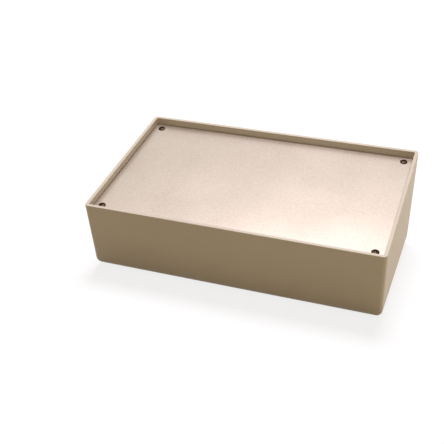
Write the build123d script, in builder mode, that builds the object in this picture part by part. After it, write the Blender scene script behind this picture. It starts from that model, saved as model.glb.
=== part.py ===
from build123d import *
from math import atan, cos, radians, sin, tan
import os

# Sloping-front project box. One moulded plastic case carries a flat aluminium panel inside a
# raised rim. Four small screws hold the panel, in brass inserts that sit in the corner posts.
# Sizes are in millimetres and angles in degrees.
# The origin is on the table under the middle of the box. +X runs along the width, +Y towards
# the high back and +Z up.

# Case, outside
box_width = 161.0
box_depth = 96.0
front_height = 39.9
back_height = 56.5
front_inset = 7.7
back_inset = 0.9
side_draft = 0.5
corner_radius = 2.2
base_edge_radius = 4.5
rim_edge_radius = 0.4

# Case, walls and panel recess
wall = 3.0
rim_wall = 2.0
panel_drop = 3.7
least_radius = 0.5

# Aluminium panel
panel_thickness = 1.0
panel_gap = 0.4
panel_corner_radius = 1.5
panel_hole_radius = 1.5
screw_inset_side = 4.4
screw_inset_front = 4.6
screw_inset_back = 4.5

# Panel screws
screw_radius = 1.2
screw_length = 8.0
head_radius = 2.0
head_height = 0.8
head_edge_height = 0.35
cross_span = 2.2
cross_width = 0.5
cross_depth = 0.5
cross_taper = 8.0

# Brass inserts and the posts that hold them
insert_radius = 2.3
insert_length = 6.0
insert_bore_clearance = 0.05
insert_fit = 0.02
knurl_length = 2.2
knurl_sides = 18
groove_depth = 0.35
post_radius = 4.2
screw_end_room = 1.5

# Board guides on the end walls
guide_count = 3
guide_pitch = 18.0
guide_slot = 1.8
guide_rib = 1.5
guide_height = 2.5
guide_below_seat = 6.0

# Board stand-offs on the floor
standoff_inset_side = 20.5
standoff_inset_end = 18.7
standoff_radius = 3.0
standoff_height = 5.0
standoff_hole_radius = 1.2
standoff_hole_depth = 5.0

# Rubber feet
foot_radius = 6.0
foot_thickness = 2.0
foot_recess = 0.5
foot_fit = 0.2
foot_edge_chamfer = 0.5
foot_inset = 15.0

# Levels, planes and wall angles that follow from the sizes above
underside = foot_thickness - foot_recess
floor_top = underside + wall
slope = atan((back_height - front_height) / box_depth)
front_draft = atan(front_inset / front_height) - slope
back_draft = atan(back_inset / back_height) + slope
rim_length = box_depth / cos(slope)
rim_middle = Vector(0, 0, underside + (front_height + back_height) / 2)
rim_plane = Plane(origin=rim_middle, x_dir=(1, 0, 0), z_dir=(0, -sin(slope), cos(slope)))
seat_depth = panel_drop + panel_thickness
face_plane = rim_plane.offset(-panel_drop)
seat_plane = rim_plane.offset(-seat_depth)
neutral_plane = Plane.XY.offset(underside + back_height)
overrun = 2 * panel_drop

# The recess is narrowest where the panel sits, and the panel is cut to fit it there
recess_front = -rim_length / 2 + rim_wall / cos(front_draft) + seat_depth * tan(front_draft)
recess_back = rim_length / 2 - rim_wall / cos(back_draft) - seat_depth * tan(back_draft)
rim_rise = back_height - front_height
recess_half_width = box_width / 2 - rim_wall - (rim_rise + seat_depth) * tan(radians(side_draft))
panel_width = 2 * (recess_half_width - panel_gap)
panel_length = recess_back - recess_front - 2 * panel_gap
panel_middle = (recess_front + recess_back) / 2
screw_front = panel_middle - panel_length / 2 + screw_inset_front
screw_back = panel_middle + panel_length / 2 - screw_inset_back
screw_middle = (screw_front + screw_back) / 2
screw_x = panel_width / 2 - screw_inset_side
screw_y = (screw_back - screw_front) / 2

# The floor is not centred under the rim, because the front wall leans in most
floor_middle = (front_inset - back_inset) / 2
floor_half_depth = (box_depth - front_inset - back_inset) / 2
foot_x = box_width / 2 - foot_inset
foot_y = floor_half_depth - foot_inset
standoff_x = box_width / 2 - standoff_inset_side
standoff_y = floor_half_depth - standoff_inset_end
bore_radius = screw_radius + insert_bore_clearance

corners = {
    "front_left": (-1, -1),
    "front_right": (1, -1),
    "back_left": (-1, 1),
    "back_right": (1, 1),
}


def drafted_block(inset):
    """Solid block with the case's walls and floor, all moved in by inset, running past the rim."""
    front_foot = Vector(-box_depth / 2 + front_inset, underside)
    front_rim = Vector(-box_depth / 2, underside + front_height)
    back_rim = Vector(box_depth / 2, underside + back_height)
    back_foot = Vector(box_depth / 2 - back_inset, underside)
    front_top = front_rim + (front_rim - front_foot) * (overrun / front_height)
    back_top = back_rim + (back_rim - back_foot) * (overrun / back_height)
    with BuildPart() as block:
        with BuildSketch(Plane.YZ):
            with BuildLine():
                Polyline(front_foot, front_top, back_top, back_foot, close=True)
            make_face()
            if inset > 0:
                offset(amount=-inset, kind=Kind.INTERSECTION)
        extrude(amount=box_width / 2 - inset, both=True)
        draft(block.faces().filter_by(Axis.X), neutral_plane, -side_draft)
        base_edges = block.faces().sort_by(Axis.Z)[0].edges()
        fillet(base_edges, radius=max(base_edge_radius - inset, least_radius))
        uprights = block.edges().filter_by(lambda edge: abs(edge.tangent_at(0.5).Z) > 0.9)
        fillet(uprights, radius=max(corner_radius - inset, least_radius))
    return block.part


# Corner posts, square to the panel, each filling its corner down to the floor
with BuildPart() as corner_posts:
    with BuildSketch(seat_plane):
        for side_x, side_y in corners.values():
            post_x = side_x * screw_x
            post_y = screw_middle + side_y * screw_y
            reach_x = box_width / 2 - wall / 2 - abs(post_x)
            reach_y = rim_length / 2 - wall / 2 - abs(post_y)
            align_x = Align.MIN if side_x > 0 else Align.MAX
            align_y = Align.MIN if side_y > 0 else Align.MAX
            with Locations((post_x, post_y)):
                Circle(post_radius)
                Rectangle(reach_x, 2 * post_radius, align=(align_x, Align.CENTER))
                Rectangle(2 * post_radius, reach_y, align=(Align.CENTER, align_y))
                Rectangle(reach_x, reach_y, align=(align_x, align_y))
    extrude(amount=-2 * back_height)
    add(drafted_block(wall / 2), mode=Mode.INTERSECT)

# Upright guides for circuit boards, in pairs on both end walls
with BuildPart() as board_guides:
    with BuildSketch(Plane.XY.offset(floor_top - wall / 2)):
        for side_x in (-1, 1):
            rib_start = box_width / 2 - wall - guide_height
            rib_reach = wall / 2 + guide_height
            with Locations((side_x * (rib_start + rib_reach / 2), floor_middle)):
                with GridLocations(rib_reach, guide_pitch, 1, guide_count):
                    with GridLocations(rib_reach, guide_slot + guide_rib, 1, 2):
                        Rectangle(rib_reach, guide_rib)
    extrude(amount=back_height)
    split(bisect_by=seat_plane.offset(-guide_below_seat), keep=Keep.BOTTOM)
    add(drafted_block(wall / 2), mode=Mode.INTERSECT)

# The recess that the panel lies in, open at the rim
with BuildPart() as panel_recess:
    add(drafted_block(rim_wall))
    split(bisect_by=seat_plane, keep=Keep.TOP)

# Moulded case
with BuildPart() as body_shell:
    add(drafted_block(0))
    split(bisect_by=rim_plane, keep=Keep.BOTTOM)
    add(drafted_block(wall), mode=Mode.SUBTRACT)
    add(corner_posts.part)
    add(board_guides.part)
    add(panel_recess.part, mode=Mode.SUBTRACT)
    rim_edges = body_shell.faces().sort_by(rim_plane.location.z_axis)[-1].edges()
    fillet(rim_edges, radius=rim_edge_radius)
    with BuildSketch(Plane.XY.offset(floor_top)):
        with Locations((0, floor_middle)):
            with GridLocations(2 * standoff_x, 2 * standoff_y, 2, 2):
                Circle(standoff_radius)
    extrude(amount=standoff_height)
    with Locations(Plane.XY.offset(floor_top + standoff_height)):
        with Locations((0, floor_middle)):
            with GridLocations(2 * standoff_x, 2 * standoff_y, 2, 2):
                Hole(radius=standoff_hole_radius, depth=standoff_hole_depth)
    with Locations(seat_plane):
        with Locations((0, screw_middle)):
            with GridLocations(2 * screw_x, 2 * screw_y, 2, 2):
                Hole(radius=insert_radius + insert_fit, depth=insert_length)
                Hole(radius=bore_radius, depth=screw_length + screw_end_room)
    with BuildSketch(Plane.XY.offset(underside)):
        with Locations((0, floor_middle)):
            with GridLocations(2 * foot_x, 2 * foot_y, 2, 2):
                Circle(foot_radius + foot_fit)
    extrude(amount=foot_recess, mode=Mode.SUBTRACT)

# Aluminium panel
with BuildPart() as top_panel:
    with BuildSketch(seat_plane):
        with Locations((0, panel_middle)):
            RectangleRounded(panel_width, panel_length, panel_corner_radius)
        with Locations((0, screw_middle)):
            with GridLocations(2 * screw_x, 2 * screw_y, 2, 2):
                Circle(panel_hole_radius, mode=Mode.SUBTRACT)
    extrude(amount=panel_thickness)

# One pan-head screw with a cross recess, its head seated on the plane through the origin
with BuildPart() as screw:
    with BuildSketch(Plane.XZ):
        with BuildLine():
            Polyline(
                (0, head_height),
                (0, -screw_length),
                (screw_radius, -screw_length),
                (screw_radius, 0),
                (head_radius, 0),
                (head_radius, head_edge_height),
            )
            dome_rise = head_height - head_edge_height
            dome_radius = (head_radius**2 + dome_rise**2) / (2 * dome_rise)
            RadiusArc((head_radius, head_edge_height), (0, head_height), -dome_radius)
        make_face()
    revolve(axis=Axis.Z)
    with BuildSketch(Plane.XY.offset(head_height)):
        Rectangle(cross_span, cross_width)
        Rectangle(cross_width, cross_span)
    extrude(amount=-cross_depth, taper=cross_taper, mode=Mode.SUBTRACT)

# The four screws of the panel
with BuildPart(face_plane) as panel_screws:
    with Locations((0, screw_middle)):
        with GridLocations(2 * screw_x, 2 * screw_y, 2, 2):
            add(screw.part)

# One brass insert, its mouth on the plane through the origin
with BuildPart() as insert:
    Cylinder(insert_radius - groove_depth, insert_length, align=(Align.CENTER, Align.CENTER, Align.MAX))
    with BuildSketch():
        RegularPolygon(insert_radius, knurl_sides)
    extrude(amount=-knurl_length)
    with BuildSketch(Plane.XY.offset(-insert_length)):
        RegularPolygon(insert_radius, knurl_sides)
    extrude(amount=knurl_length)
    Hole(radius=bore_radius)

# One rubber foot, standing on the plane through the origin
with BuildPart() as foot:
    Cylinder(foot_radius, foot_thickness, align=(Align.CENTER, Align.CENTER, Align.MIN))
    chamfer(foot.faces().sort_by(Axis.Z)[0].edges(), length=foot_edge_chamfer)

# Write one file for each piece
os.makedirs("parts", exist_ok=True)
body_shell.part.label = "body_shell"
export_step(body_shell.part, "parts/body_shell.step")
top_panel.part.label = "top_panel"
export_step(top_panel.part, "parts/top_panel.step")
panel_screws.part.label = "panel_screws"
export_step(panel_screws.part, "parts/panel_screws.step")

for corner, (side_x, side_y) in corners.items():
    with BuildPart(seat_plane) as placed_insert:
        with Locations((side_x * screw_x, screw_middle + side_y * screw_y)):
            add(insert.part)
    placed_insert.part.label = "insert_" + corner
    export_step(placed_insert.part, "parts/insert_" + corner + ".step")

    with BuildPart() as placed_foot:
        with Locations((side_x * foot_x, floor_middle + side_y * foot_y)):
            add(foot.part)
    placed_foot.part.label = "foot_" + corner
    export_step(placed_foot.part, "parts/foot_" + corner + ".step")
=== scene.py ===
import logging
import math
from dataclasses import dataclass, field
from enum import Enum
from typing import Callable, Optional, Sequence

import bpy
from mathutils import Matrix, Vector


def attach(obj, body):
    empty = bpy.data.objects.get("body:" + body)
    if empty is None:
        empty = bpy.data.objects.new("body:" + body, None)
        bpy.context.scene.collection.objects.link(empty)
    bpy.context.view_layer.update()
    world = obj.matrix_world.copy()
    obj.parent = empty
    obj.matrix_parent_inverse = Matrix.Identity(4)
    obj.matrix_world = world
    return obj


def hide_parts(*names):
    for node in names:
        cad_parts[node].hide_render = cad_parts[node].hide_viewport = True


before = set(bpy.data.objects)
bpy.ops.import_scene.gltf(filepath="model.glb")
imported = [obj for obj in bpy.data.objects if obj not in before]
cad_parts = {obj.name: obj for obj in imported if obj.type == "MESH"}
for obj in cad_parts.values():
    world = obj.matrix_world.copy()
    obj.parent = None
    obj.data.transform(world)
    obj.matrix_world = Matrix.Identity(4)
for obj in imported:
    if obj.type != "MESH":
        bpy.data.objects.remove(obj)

log = logging.getLogger("project_box")

MM = 0.001
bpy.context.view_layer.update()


class Corner(Enum):
    """The four corners of the box, each with its side along X and along Y."""

    FRONT_LEFT = (-1, -1)
    FRONT_RIGHT = (1, -1)
    BACK_LEFT = (-1, 1)
    BACK_RIGHT = (1, 1)

    @property
    def label(self) -> str:
        """The corner's name as the CAD nodes write it."""
        return self.name.lower()


class Slot(Enum):
    """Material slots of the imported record."""

    CASE = "case_plastic"
    PANEL = "panel_aluminium"
    SCREW = "screw_steel"
    INSERT = "insert_brass"
    FOOT = "foot_rubber"


# Small helpers for modelling by hand


def deselect_everything() -> None:
    """Leave edit mode if needed and deselect every object."""
    if bpy.context.object is not None and bpy.context.object.mode != "OBJECT":
        bpy.ops.object.mode_set(mode="OBJECT")
    bpy.ops.object.select_all(action="DESELECT")


def make_active(piece: bpy.types.Object) -> None:
    """Select one object only and make it active.

    Args:
        piece: The object to work on.
    """
    deselect_everything()
    piece.select_set(True)
    bpy.context.view_layer.objects.active = piece


def apply_modifiers(piece: bpy.types.Object) -> None:
    """Apply every modifier on a piece, in order.

    Args:
        piece: The object whose modifiers become mesh.
    """
    make_active(piece)
    for modifier in list(piece.modifiers):
        bpy.ops.object.modifier_apply(modifier=modifier.name)


def settle(piece: bpy.types.Object) -> None:
    """Put a piece's place into its mesh, so that its object sits at the origin unturned.

    Args:
        piece: The object to settle.
    """
    make_active(piece)
    bpy.ops.object.transform_apply(location=True, rotation=True, scale=True)


def outward_normals(piece: bpy.types.Object, merge: float = 1e-6) -> None:
    """Merge doubles and turn every face of a closed piece outwards.

    Args:
        piece: The object to clean.
        merge: Distance in metres under which vertices are merged.
    """
    make_active(piece)
    bpy.ops.object.mode_set(mode="EDIT")
    bpy.ops.mesh.select_all(action="SELECT")
    bpy.ops.mesh.remove_doubles(threshold=merge)
    bpy.ops.mesh.normals_make_consistent(inside=False)
    bpy.ops.object.mode_set(mode="OBJECT")


def smooth_by_angle(piece: bpy.types.Object, degrees: float = 35.0) -> None:
    """Shade a piece smooth, with edges sharper than an angle kept crisp.

    Args:
        piece: The object to shade.
        degrees: Angle between faces above which an edge stays crisp.
    """
    make_active(piece)
    bpy.ops.object.shade_smooth_by_angle(angle=math.radians(degrees))


def weight_normals(piece: bpy.types.Object) -> None:
    """Let large flat faces keep their own normals beside small rounded ones.

    Args:
        piece: The object to shade.
    """
    weighted = piece.modifiers.new("weighted normals", "WEIGHTED_NORMAL")
    weighted.keep_sharp = True
    weighted.weight = 100
    apply_modifiers(piece)


def copy_of_node(node: str, name: str) -> bpy.types.Object:
    """Copy a CAD node's mesh, merge its loose triangles and join those that lie in one plane.

    Whole flat faces hold their own normals when they are shaded beside rounded edges.

    Args:
        node: Name of the CAD node.
        name: Name of the new piece.

    Returns:
        The new piece, with its place in its mesh.
    """
    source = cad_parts[node]
    piece = bpy.data.objects.new(name, source.data.copy())
    bpy.context.scene.collection.objects.link(piece)
    piece.data.materials.clear()
    make_active(piece)
    bpy.ops.object.mode_set(mode="EDIT")
    bpy.ops.mesh.select_all(action="SELECT")
    bpy.ops.mesh.remove_doubles(threshold=1e-7)
    bpy.ops.mesh.dissolve_limited(angle_limit=math.radians(0.3))
    bpy.ops.mesh.customdata_custom_splitnormals_clear()
    bpy.ops.object.mode_set(mode="OBJECT")
    return piece


def paint(piece: bpy.types.Object, material: bpy.types.Material) -> None:
    """Give a piece one material.

    Args:
        piece: The object to dress.
        material: Its material.
    """
    piece.data.materials.clear()
    piece.data.materials.append(material)


def select_where(piece: bpy.types.Object, kind: str, test: Callable[[Vector], bool]) -> int:
    """Select faces or vertices of a piece by place, leaving it in object mode.

    Args:
        piece: The object to select on.
        kind: "FACE" tests face centres, "VERT" tests vertices.
        test: Says whether a point is wanted.

    Returns:
        How many were selected.
    """
    make_active(piece)
    bpy.ops.object.mode_set(mode="EDIT")
    bpy.ops.mesh.select_mode(type=kind)
    bpy.ops.mesh.select_all(action="DESELECT")
    bpy.ops.object.mode_set(mode="OBJECT")
    if kind == "FACE":
        wanted = [face for face in piece.data.polygons if test(face.center)]
    else:
        wanted = [vertex for vertex in piece.data.vertices if test(vertex.co)]
    for item in wanted:
        item.select = True
    return len(wanted)


# Shader node groups that several finishes use


@dataclass
class GroupBuilder:
    """Builds one shader node group with named inputs and outputs."""

    name: str
    tree: bpy.types.NodeTree = field(init=False)

    def __post_init__(self) -> None:
        """Start the group's tree with its two end nodes."""
        self.tree = bpy.data.node_groups.new(self.name, "ShaderNodeTree")
        self.inputs = self.tree.nodes.new("NodeGroupInput")
        self.outputs = self.tree.nodes.new("NodeGroupOutput")

    def socket(self, name: str, kind: str, out: bool = False, value: Optional[float] = None) -> None:
        """Add a socket.

        Args:
            name: The socket's name.
            kind: Float, Color or Vector.
            out: True for an output.
            value: Default of a float input.
        """
        made = self.tree.interface.new_socket(
            name=name, in_out="OUTPUT" if out else "INPUT", socket_type="NodeSocket" + kind
        )
        if value is not None:
            made.default_value = value

    def node(self, kind: str, **settings: object) -> bpy.types.Node:
        """Add a node with some of its settings.

        Args:
            kind: The node's type.
            **settings: Attributes to set on it.

        Returns:
            The new node.
        """
        made = self.tree.nodes.new(kind)
        for key, value in settings.items():
            setattr(made, key, value)
        return made

    def link(self, source: bpy.types.NodeSocket, target: bpy.types.NodeSocket) -> None:
        """Join an output to an input."""
        self.tree.links.new(source, target)


def fine_grain_group() -> bpy.types.NodeTree:
    """Fine even grain, as on spark-textured mouldings and etched sheet.

    Returns:
        Group with Vector, Scale and Detail in, and Height and Mask out.
    """
    g = GroupBuilder("fine_grain")
    g.socket("Vector", "Vector")
    g.socket("Scale", "Float", value=2500.0)
    g.socket("Detail", "Float", value=2.0)
    g.socket("Height", "Float", out=True)
    g.socket("Mask", "Float", out=True)
    noise = g.node("ShaderNodeTexNoise")
    g.link(g.inputs.outputs["Vector"], noise.inputs["Vector"])
    g.link(g.inputs.outputs["Scale"], noise.inputs["Scale"])
    g.link(g.inputs.outputs["Detail"], noise.inputs["Detail"])
    spread = g.node("ShaderNodeMapRange")
    spread.inputs["From Min"].default_value = 0.3
    spread.inputs["From Max"].default_value = 0.7
    g.link(noise.outputs["Fac"], spread.inputs["Value"])
    g.link(noise.outputs["Fac"], g.outputs.inputs["Height"])
    g.link(spread.outputs["Result"], g.outputs.inputs["Mask"])
    return g.tree


def clouding_group() -> bpy.types.NodeTree:
    """Wide soft change of tone, as in moulded plastic and handled metal.

    Returns:
        Group with Vector, Scale, Tone A and Tone B in, and Color and Mask out.
    """
    g = GroupBuilder("clouding")
    g.socket("Vector", "Vector")
    g.socket("Scale", "Float", value=20.0)
    g.socket("Tone A", "Color")
    g.socket("Tone B", "Color")
    g.socket("Color", "Color", out=True)
    g.socket("Mask", "Float", out=True)
    wide = g.node("ShaderNodeTexNoise")
    wide.inputs["Detail"].default_value = 3.0
    wide.inputs["Roughness"].default_value = 0.55
    g.link(g.inputs.outputs["Vector"], wide.inputs["Vector"])
    g.link(g.inputs.outputs["Scale"], wide.inputs["Scale"])
    spread = g.node("ShaderNodeMapRange", interpolation_type="SMOOTHSTEP")
    spread.inputs["From Min"].default_value = 0.32
    spread.inputs["From Max"].default_value = 0.68
    g.link(wide.outputs["Fac"], spread.inputs["Value"])
    mix = g.node("ShaderNodeMix", data_type="RGBA")
    g.link(spread.outputs["Result"], mix.inputs["Factor"])
    g.link(g.inputs.outputs["Tone A"], mix.inputs[6])
    g.link(g.inputs.outputs["Tone B"], mix.inputs[7])
    g.link(mix.outputs[2], g.outputs.inputs["Color"])
    g.link(spread.outputs["Result"], g.outputs.inputs["Mask"])
    return g.tree


FINE_GRAIN = fine_grain_group()
CLOUDING = clouding_group()


@dataclass(frozen=True)
class Finish:
    """A procedural finish: two close tones, a grain and a gloss that vary over the surface."""

    name: str
    tone_a: tuple[float, float, float]
    tone_b: tuple[float, float, float]
    cloud_scale: float
    grain_scale: float
    grain_depth: float
    roughness_low: float
    roughness_high: float
    metallic: float = 0.0
    specular: float = 0.5
    ior: float = 1.5
    speckle: float = 0.0

    def build(self) -> bpy.types.Material:
        """Make the material.

        Returns:
            A material whose pattern reads Object coordinates.
        """
        material = bpy.data.materials.new(self.name)
        material.use_nodes = True
        nodes, links = material.node_tree.nodes, material.node_tree.links
        shader = nodes["Principled BSDF"]
        shader.inputs["Metallic"].default_value = self.metallic
        shader.inputs["IOR"].default_value = self.ior
        shader.inputs["Specular IOR Level"].default_value = self.specular
        place = nodes.new("ShaderNodeTexCoord")

        clouds = nodes.new("ShaderNodeGroup")
        clouds.node_tree = CLOUDING
        clouds.inputs["Scale"].default_value = self.cloud_scale
        clouds.inputs["Tone A"].default_value = (*self.tone_a, 1.0)
        clouds.inputs["Tone B"].default_value = (*self.tone_b, 1.0)
        links.new(place.outputs["Object"], clouds.inputs["Vector"])

        grain = nodes.new("ShaderNodeGroup")
        grain.node_tree = FINE_GRAIN
        grain.inputs["Scale"].default_value = self.grain_scale
        links.new(place.outputs["Object"], grain.inputs["Vector"])

        speckled = nodes.new("ShaderNodeMix")
        speckled.data_type = "RGBA"
        speckled.blend_type = "MULTIPLY"
        speckle_amount = nodes.new("ShaderNodeMapRange")
        speckle_amount.inputs["To Min"].default_value = 1.0 - self.speckle
        speckle_amount.inputs["To Max"].default_value = 1.0 + self.speckle
        links.new(grain.outputs["Mask"], speckle_amount.inputs["Value"])
        speckled.inputs["Factor"].default_value = 1.0
        links.new(clouds.outputs["Color"], speckled.inputs[6])
        links.new(speckle_amount.outputs["Result"], speckled.inputs[7])
        links.new(speckled.outputs[2], shader.inputs["Base Color"])

        gloss = nodes.new("ShaderNodeMapRange")
        gloss.inputs["To Min"].default_value = self.roughness_low
        gloss.inputs["To Max"].default_value = self.roughness_high
        links.new(clouds.outputs["Mask"], gloss.inputs["Value"])
        links.new(gloss.outputs["Result"], shader.inputs["Roughness"])

        bump = nodes.new("ShaderNodeBump")
        bump.inputs["Strength"].default_value = 1.0
        bump.inputs["Distance"].default_value = self.grain_depth
        links.new(grain.outputs["Height"], bump.inputs["Height"])
        links.new(bump.outputs["Normal"], shader.inputs["Normal"])
        return material


CASE_FINISH = Finish(
    name="moulded_case_plastic",
    tone_a=(0.64, 0.555, 0.425),
    tone_b=(0.68, 0.595, 0.46),
    cloud_scale=14.0,
    grain_scale=2600.0,
    grain_depth=0.00003,
    roughness_low=0.42,
    roughness_high=0.50,
    speckle=0.02,
)
PANEL_FINISH = Finish(
    name="satin_panel_aluminium",
    tone_a=(0.50, 0.422, 0.348),
    tone_b=(0.52, 0.440, 0.364),
    cloud_scale=30.0,
    grain_scale=1100.0,
    grain_depth=0.000008,
    roughness_low=0.315,
    roughness_high=0.327,
    metallic=1.0,
    speckle=0.085,
)
SCREW_FINISH = Finish(
    name="blackened_screw_steel",
    tone_a=(0.027, 0.0155, 0.0075),
    tone_b=(0.042, 0.025, 0.0125),
    cloud_scale=700.0,
    grain_scale=9000.0,
    grain_depth=0.000006,
    roughness_low=0.28,
    roughness_high=0.40,
    metallic=1.0,
    speckle=0.1,
)
BRASS_FINISH = Finish(
    name="turned_insert_brass",
    tone_a=(0.68, 0.47, 0.20),
    tone_b=(0.76, 0.56, 0.28),
    cloud_scale=500.0,
    grain_scale=6000.0,
    grain_depth=0.000008,
    roughness_low=0.26,
    roughness_high=0.36,
    metallic=1.0,
    speckle=0.04,
)
RUBBER_FINISH = Finish(
    name="matt_foot_rubber",
    tone_a=(0.022, 0.021, 0.020),
    tone_b=(0.036, 0.034, 0.032),
    cloud_scale=250.0,
    grain_scale=5000.0,
    grain_depth=0.00002,
    roughness_low=0.72,
    roughness_high=0.85,
    speckle=0.08,
)


@dataclass
class MouldedCase:
    """The one-piece moulded case."""

    node: str = "body_shell"

    def build(self) -> bpy.types.Object:
        """Shade and dress the case.

        Returns:
            The case as a smooth piece in place of its CAD node.
        """
        piece = copy_of_node(self.node, "moulded_case")
        smooth_by_angle(piece)
        weight_normals(piece)
        paint(piece, CASE_FINISH.build())
        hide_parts(self.node)
        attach(piece, "box")
        return piece


@dataclass
class SlopingPanel:
    """The flat aluminium panel in the rim. Lengths are in metres."""

    node: str = "top_panel"
    broken_edge: float = 0.12 * MM

    def build(self) -> bpy.types.Object:
        """Copy the panel and break its edges.

        Returns:
            The panel in place of its CAD node.
        """
        piece = copy_of_node(self.node, "sloping_panel")
        edges = piece.modifiers.new("broken edges", "BEVEL")
        edges.width = self.broken_edge
        edges.segments = 2
        edges.limit_method = "ANGLE"
        edges.angle_limit = math.radians(50.0)
        apply_modifiers(piece)
        smooth_by_angle(piece)
        weight_normals(piece)
        paint(piece, PANEL_FINISH.build())
        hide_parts(self.node)
        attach(piece, "panel")
        return piece


@dataclass(frozen=True)
class SlopingPlane:
    """Directions of the panel's plane, which rises towards the back."""

    normal: Vector = field(default_factory=lambda: Vector((0.0, -0.170388, 0.985377)))

    @property
    def along(self) -> Vector:
        """Unit vector up the slope."""
        return self.normal.cross(Vector((1.0, 0.0, 0.0)))

    def standing_at(self, point: Vector, turn: float) -> Matrix:
        """Placement of a piece that stands square to the plane.

        Args:
            point: Where the piece's own origin goes.
            turn: Turn about the normal, in degrees.

        Returns:
            The placement.
        """
        axes = Matrix((Vector((1.0, 0.0, 0.0)), self.along, self.normal)).transposed().to_4x4()
        return Matrix.Translation(point) @ axes @ Matrix.Rotation(math.radians(turn), 4, "Z")


@dataclass
class PanelScrews:
    """Four pan-head screws with cross recesses and helical threads. Lengths are in metres."""

    node: str = "panel_screws"
    plane: SlopingPlane = field(default_factory=SlopingPlane)
    head_radius: float = 2.0 * MM
    head_edge: float = 0.35 * MM
    head_height: float = 0.8 * MM
    length: float = 8.0 * MM
    core_radius: float = 0.98 * MM
    thread_radius: float = 1.19 * MM
    pitch: float = 0.45 * MM
    thread_turns: int = 16
    cross_span: float = 2.3 * MM
    cross_width: float = 0.52 * MM
    cross_depth: float = 0.5 * MM
    dome_rings: int = 6
    facets: int = 48
    turns: Sequence[float] = (14.0, 52.0, 77.0, 31.0)

    def build(self) -> list[bpy.types.Object]:
        """Model one screw and stand a copy of it at each of the CAD screws.

        Returns:
            The four screws in place of their CAD node.
        """
        model = self.body()
        self.cut_cross(model)
        self.add_thread(model)
        smooth_by_angle(model, 32.0)
        paint(model, SCREW_FINISH.build())
        screws = []
        for corner, turn in zip(Corner, self.turns):
            screw = model.copy()
            screw.data = model.data.copy()
            screw.name = f"panel_screw_{corner.label}"
            bpy.context.scene.collection.objects.link(screw)
            screw.matrix_world = self.plane.standing_at(self.seat(corner), turn)
            settle(screw)
            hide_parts(self.node)
            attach(screw, "screws")
            screws.append(screw)
        bpy.data.objects.remove(model)
        return screws

    def seat(self, corner: Corner) -> Vector:
        """Middle of a screw's seat, measured on its CAD solid.

        Args:
            corner: Which screw.

        Returns:
            The point on the screw's axis under its head.
        """
        side_x, side_y = corner.value
        solid = [v.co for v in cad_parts[self.node].data.vertices]
        solid = [p for p in solid if p.x * side_x > 0 and p.y * side_y > 0]
        across = [p.x for p in solid]
        along = [p.dot(self.plane.along) for p in solid]
        tip = min(p.dot(self.plane.normal) for p in solid)
        return (
            Vector((min(across) + max(across), 0.0, 0.0)) / 2
            + self.plane.along * (min(along) + max(along)) / 2
            + self.plane.normal * (tip + self.length)
        )

    def body(self) -> bpy.types.Object:
        """Domed head and threaded core, seated on the plane through the origin.

        Returns:
            The screw without its recess and thread.
        """
        deselect_everything()
        bpy.ops.mesh.primitive_cylinder_add(
            vertices=self.facets,
            radius=self.head_radius,
            depth=self.head_edge,
            location=(0.0, 0.0, self.head_edge / 2),
        )
        screw = bpy.context.object
        screw.name = "panel_screw_model"
        settle(screw)
        rise = self.head_height - self.head_edge
        ball = (self.head_radius**2 + rise**2) / (2 * rise)
        ring = self.head_radius / (self.dome_rings + 0.5)
        select_where(screw, "FACE", lambda centre: centre.z > 0.99 * self.head_edge)
        bpy.ops.object.mode_set(mode="EDIT")
        level = 0.0
        for count in range(1, self.dome_rings + 1):
            radius = self.head_radius - ring * count
            height = math.sqrt(ball**2 - radius**2) - (ball - rise)
            bpy.ops.mesh.inset(thickness=ring, depth=height - level)
            level = height
        select_where(screw, "FACE", lambda centre: centre.z < 0.01 * self.head_edge)
        bpy.ops.object.mode_set(mode="EDIT")
        bpy.ops.mesh.inset(thickness=self.head_radius - self.core_radius, depth=0.0)
        point = 0.06 * self.length
        for drop, scale in ((self.length - point, 1.0), (point, 0.7)):
            bpy.ops.mesh.extrude_region_move(TRANSFORM_OT_translate={"value": (0.0, 0.0, -drop)})
            bpy.ops.transform.resize(value=(scale, scale, 1.0), center_override=(0.0, 0.0, 0.0))
        bpy.ops.object.mode_set(mode="OBJECT")
        edge = screw.modifiers.new("head edge", "BEVEL")
        edge.width = 0.04 * self.head_radius
        edge.segments = 2
        edge.limit_method = "ANGLE"
        edge.angle_limit = math.radians(50.0)
        apply_modifiers(screw)
        return screw

    def cut_cross(self, screw: bpy.types.Object) -> None:
        """Cut the cross recess out of the head.

        Args:
            screw: The screw to cut.
        """
        above = self.head_height
        for turn in (0.0, 90.0):
            deselect_everything()
            bpy.ops.mesh.primitive_cube_add(size=1.0, location=(0.0, 0.0, self.head_height))
            cutter = bpy.context.object
            cutter.scale = (self.cross_span, self.cross_width, 2 * self.cross_depth)
            settle(cutter)
            select_where(cutter, "FACE", lambda centre: centre.z < above - 0.9 * self.cross_depth)
            bpy.ops.object.mode_set(mode="EDIT")
            bpy.ops.transform.resize(value=(0.7, 0.8, 1.0), center_override=(0.0, 0.0, 0.0))
            bpy.ops.object.mode_set(mode="OBJECT")
            cutter.rotation_euler = (0.0, 0.0, math.radians(turn))
            settle(cutter)
            cut = screw.modifiers.new("cross", "BOOLEAN")
            cut.operation = "DIFFERENCE"
            cut.solver = "EXACT"
            cut.object = cutter
            apply_modifiers(screw)
            bpy.data.objects.remove(cutter)

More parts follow.
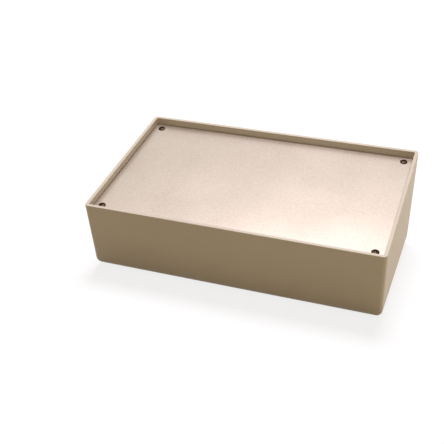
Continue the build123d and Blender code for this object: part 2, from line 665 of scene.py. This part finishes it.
    def add_thread(self, screw: bpy.types.Object) -> None:
        """Wind the thread's ridge round the core and join it to the screw.

        Args:
            screw: The screw that takes the thread.
        """
        deselect_everything()
        ridge_depth = self.thread_radius - self.core_radius
        radius = ridge_depth / 1.2
        low_end = -0.93 * self.length
        bpy.ops.mesh.primitive_circle_add(
            vertices=3,
            radius=radius,
            location=(self.thread_radius - radius, 0.0, low_end),
            rotation=(math.radians(90.0), 0.0, 0.0),
        )
        thread = bpy.context.object
        settle(thread)
        make_active(thread)
        bpy.ops.object.mode_set(mode="EDIT")
        bpy.ops.mesh.select_all(action="SELECT")
        bpy.ops.transform.rotate(
            value=math.radians(90.0),
            orient_axis="Y",
            center_override=(self.thread_radius - radius, 0.0, low_end),
        )
        bpy.ops.object.mode_set(mode="OBJECT")
        profile = [vertex.co.copy() for vertex in thread.data.vertices]
        wind = thread.modifiers.new("thread", "SCREW")
        wind.axis = "Z"
        wind.angle = 2 * math.pi
        wind.screw_offset = self.pitch
        wind.iterations = self.thread_turns
        wind.steps = 24
        wind.render_steps = 24
        wind.use_normal_calculate = True
        apply_modifiers(thread)
        rise = self.pitch * self.thread_turns
        for lift in (0.0, rise):
            ends = [Vector((point.x, point.y, point.z + lift)) for point in profile]
            select_where(
                thread, "VERT", lambda place: any((place - end).length < 1e-6 for end in ends)
            )
            bpy.ops.object.mode_set(mode="EDIT")
            bpy.ops.mesh.edge_face_add()
            bpy.ops.object.mode_set(mode="OBJECT")
        outward_normals(thread)
        deselect_everything()
        thread.select_set(True)
        screw.select_set(True)
        bpy.context.view_layer.objects.active = screw
        bpy.ops.object.join()


@dataclass
class RubberFeet:
    """Four round rubber feet with rounded edges and a shallow dimple. Lengths are in metres."""

    radius: float = 6.0 * MM
    thickness: float = 2.0 * MM
    edge: float = 0.5 * MM
    rim: float = 1.6 * MM
    dimple: float = 0.35 * MM
    facets: int = 64

    def build(self) -> list[bpy.types.Object]:
        """Model one foot and copy it to the four corners.

        Returns:
            The feet in place of their CAD nodes.
        """
        model = self.model()
        paint(model, RUBBER_FINISH.build())
        feet = []
        for corner in Corner:
            node = f"foot_{corner.label}"
            solid = [v.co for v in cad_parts[node].data.vertices]
            middle_x = (min(p.x for p in solid) + max(p.x for p in solid)) / 2
            middle_y = (min(p.y for p in solid) + max(p.y for p in solid)) / 2
            foot = model.copy()
            foot.data = model.data.copy()
            foot.name = f"rubber_{node}"
            bpy.context.scene.collection.objects.link(foot)
            foot.location = (middle_x, middle_y, 0.0)
            settle(foot)
            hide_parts(node)
            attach(foot, "box")
            feet.append(foot)
        bpy.data.objects.remove(model)
        return feet

    def model(self) -> bpy.types.Object:
        """One foot, standing on the plane through the origin.

        Returns:
            The foot.
        """
        deselect_everything()
        bpy.ops.mesh.primitive_cylinder_add(
            vertices=self.facets,
            radius=self.radius,
            depth=self.thickness,
            location=(0.0, 0.0, self.thickness / 2),
        )
        foot = bpy.context.object
        foot.name = "foot_model"
        settle(foot)
        select_where(foot, "FACE", lambda centre: centre.z < 0.01 * self.thickness)
        bpy.ops.object.mode_set(mode="EDIT")
        bpy.ops.mesh.bevel(offset=self.edge, segments=4, affect="EDGES")
        select_where(foot, "FACE", lambda centre: centre.z < 1e-7)
        bpy.ops.object.mode_set(mode="EDIT")
        bpy.ops.mesh.inset(thickness=self.rim, depth=0.0)
        bpy.ops.mesh.inset(thickness=self.dimple, depth=-self.dimple)
        bpy.ops.object.mode_set(mode="OBJECT")
        smooth_by_angle(foot, 32.0)
        return foot


@dataclass
class PlainNodes:
    """CAD nodes that keep their shape and get a finish."""

    nodes: Sequence[str]
    finish: Finish

    def build(self) -> list[bpy.types.Object]:
        """Dress the nodes.

        Returns:
            The dressed nodes.
        """
        material = self.finish.build()
        pieces = [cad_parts[node] for node in self.nodes]
        for piece in pieces:
            paint(piece, material)
        return pieces


@dataclass
class PhotoCamera:
    """A camera at the photograph's viewing angle. Lengths are in metres, angles in degrees."""

    focal_pixels: float = 804.19
    image_pixels: float = 444.0
    azimuth: float = 19.62
    elevation: float = 27.96
    roll: float = 0.22
    distance: float = 441.6 * MM
    target: Vector = field(default_factory=lambda: Vector((-14.35, -14.56, 26.67)) * MM)
    sensor_mm: float = 36.0

    def build(self) -> bpy.types.Object:
        """Place the camera and make it the scene's own.

        Returns:
            The camera object.
        """
        azimuth, elevation, roll = (math.radians(a) for a in (self.azimuth, self.elevation, self.roll))
        back = Vector(
            (
                math.sin(azimuth) * math.cos(elevation),
                -math.cos(azimuth) * math.cos(elevation),
                math.sin(elevation),
            )
        )
        level = Vector((math.cos(azimuth), math.sin(azimuth), 0.0))
        upright = back.cross(level)
        right = math.cos(roll) * level + math.sin(roll) * upright
        up = math.cos(roll) * upright - math.sin(roll) * level
        turn = Matrix((right, up, back)).transposed().to_4x4()
        data = bpy.data.cameras.new("photo_camera")
        data.sensor_width = self.sensor_mm
        data.lens = self.focal_pixels / self.image_pixels * self.sensor_mm
        data.clip_start = 0.01
        camera = bpy.data.objects.new("photo_camera", data)
        bpy.context.scene.collection.objects.link(camera)
        camera.matrix_world = Matrix.Translation(self.target + back * self.distance) @ turn
        bpy.context.scene.camera = camera
        return camera


@dataclass(frozen=True)
class SoftLamp:
    """A rectangular soft lamp that points at the box. Lengths are in metres."""

    name: str
    direction: tuple[float, float, float]
    distance: float
    size: tuple[float, float]
    level: float
    colour: tuple[float, float, float] = (1.0, 1.0, 1.0)
    aim: tuple[float, float, float] = (0.0, 0.0, 0.03)

    def build(self) -> bpy.types.Object:
        """Place the lamp.

        Returns:
            The lamp object. At level 1 a white card that faces it renders white.
        """
        data = bpy.data.lights.new(self.name, "AREA")
        data.shape = "RECTANGLE"
        data.size, data.size_y = self.size
        data.energy = self.level * math.pi**2 * self.distance**2
        data.color = self.colour
        lamp = bpy.data.objects.new(self.name, data)
        bpy.context.scene.collection.objects.link(lamp)
        towards = Vector(self.direction).normalized()
        lamp.location = Vector(self.aim) + towards * self.distance
        lamp.rotation_mode = "QUATERNION"
        lamp.rotation_quaternion = towards.to_track_quat("Z", "Y")
        return lamp


@dataclass
class Studio:
    """Plain pale floor, plain surroundings and soft lamps."""

    floor_size: float = 6.0
    surroundings: tuple[float, float, float] = (0.27, 0.225, 0.158)
    floor_bounce: tuple[float, float, float] = (0.44, 0.37, 0.25)
    shadow_share: float = 0.25
    floor_glow: float = 1.08
    floor_drop: float = 0.1 * MM
    fade_start: float = 0.35
    fade_end: float = 0.60
    lamps: Sequence[SoftLamp] = (
        SoftLamp("key_lamp", (-0.05, 0.26, 1.0), 1.218, (0.457, 0.457), 1.0, (0.90, 0.885, 1.0)),
        SoftLamp("side_card", (1.0, 0.30, -0.03), 0.42, (0.6, 0.05), 0.31, (1.0, 0.84, 0.66), (0.0, 0.0, 0.02)),
    )

    def build(self) -> None:
        """Set the view, the surroundings, the floor and the lamps."""
        bpy.context.scene.view_settings.view_transform = "Standard"
        self.build_surroundings()
        self.build_floor()
        for lamp in self.lamps:
            lamp.build()

    @staticmethod
    def seen_directly(tree: bpy.types.NodeTree) -> bpy.types.NodeSocket:
        """Whether a ray comes from the camera, a mirror or through glass.

        Args:
            tree: The node tree to add the test to.

        Returns:
            A value that is 1 for those rays and 0 for others.
        """
        path = tree.nodes.new("ShaderNodeLightPath")
        total = path.outputs["Is Camera Ray"]
        for name in ("Is Glossy Ray", "Is Transmission Ray"):
            largest = tree.nodes.new("ShaderNodeMath")
            largest.operation = "MAXIMUM"
            tree.links.new(total, largest.inputs[0])
            tree.links.new(path.outputs[name], largest.inputs[1])
            total = largest.outputs[0]
        return total

    def build_surroundings(self) -> None:
        """White where it is seen or mirrored, and dim warm light elsewhere."""
        world = bpy.data.worlds.new("studio_surroundings")
        world.use_nodes = True
        bpy.context.scene.world = world
        tree = world.node_tree
        tree.nodes.clear()
        light = tree.nodes.new("ShaderNodeBackground")
        light.inputs["Color"].default_value = (*self.surroundings, 1.0)
        seen = tree.nodes.new("ShaderNodeBackground")
        seen.inputs["Color"].default_value = (1.0, 1.0, 1.0, 1.0)
        mix = tree.nodes.new("ShaderNodeMixShader")
        end = tree.nodes.new("ShaderNodeOutputWorld")
        tree.links.new(self.seen_directly(tree), mix.inputs[0])
        tree.links.new(light.outputs[0], mix.inputs[1])
        tree.links.new(seen.outputs[0], mix.inputs[2])
        tree.links.new(mix.outputs[0], end.inputs["Surface"])

    def build_floor(self) -> None:
        """A pale floor that shows white and keeps a soft shadow."""
        deselect_everything()
        bpy.ops.mesh.primitive_plane_add(size=self.floor_size, location=(0.0, 0.0, -self.floor_drop))
        floor = bpy.context.object
        floor.name = "studio_floor"
        material = bpy.data.materials.new("studio_floor_paper")
        material.use_nodes = True
        tree = material.node_tree
        tree.nodes.clear()
        end = tree.nodes.new("ShaderNodeOutputMaterial")
        bounce = tree.nodes.new("ShaderNodeBsdfDiffuse")
        bounce.inputs["Color"].default_value = (*self.floor_bounce, 1.0)
        paper = tree.nodes.new("ShaderNodeBsdfDiffuse")
        paper.inputs["Color"].default_value = (0.9, 0.9, 0.9, 1.0)
        white = tree.nodes.new("ShaderNodeEmission")
        white.inputs["Color"].default_value = (1.0, 1.0, 1.0, 1.0)
        white.inputs["Strength"].default_value = self.floor_glow
        place = tree.nodes.new("ShaderNodeTexCoord")
        distance = tree.nodes.new("ShaderNodeVectorMath")
        distance.operation = "LENGTH"
        tree.links.new(place.outputs["Object"], distance.inputs[0])
        share = tree.nodes.new("ShaderNodeMapRange")
        share.inputs["From Min"].default_value = self.fade_start
        share.inputs["From Max"].default_value = self.fade_end
        share.inputs["To Min"].default_value = 1.0 - self.shadow_share
        tree.links.new(distance.outputs["Value"], share.inputs["Value"])
        seen = tree.nodes.new("ShaderNodeMixShader")
        tree.links.new(share.outputs["Result"], seen.inputs[0])
        tree.links.new(paper.outputs[0], seen.inputs[1])
        tree.links.new(white.outputs[0], seen.inputs[2])
        mix = tree.nodes.new("ShaderNodeMixShader")
        tree.links.new(self.seen_directly(tree), mix.inputs[0])
        tree.links.new(bounce.outputs[0], mix.inputs[1])
        tree.links.new(seen.outputs[0], mix.inputs[2])
        tree.links.new(mix.outputs[0], end.inputs["Surface"])
        paint(floor, material)


def main() -> None:
    """Build the box piece by piece, then the camera and the studio."""
    logging.basicConfig(level=logging.INFO, format="%(message)s")
    inserts = PlainNodes([f"insert_{corner.label}" for corner in Corner], BRASS_FINISH)
    log.info("case: %s", MouldedCase().build().name)
    log.info("panel: %s", SlopingPanel().build().name)
    for group in (PanelScrews(), inserts, RubberFeet()):
        log.info("built: %s", ", ".join(piece.name for piece in group.build()))
    PhotoCamera().build()
    Studio().build()


if __name__ == "__main__":
    main()
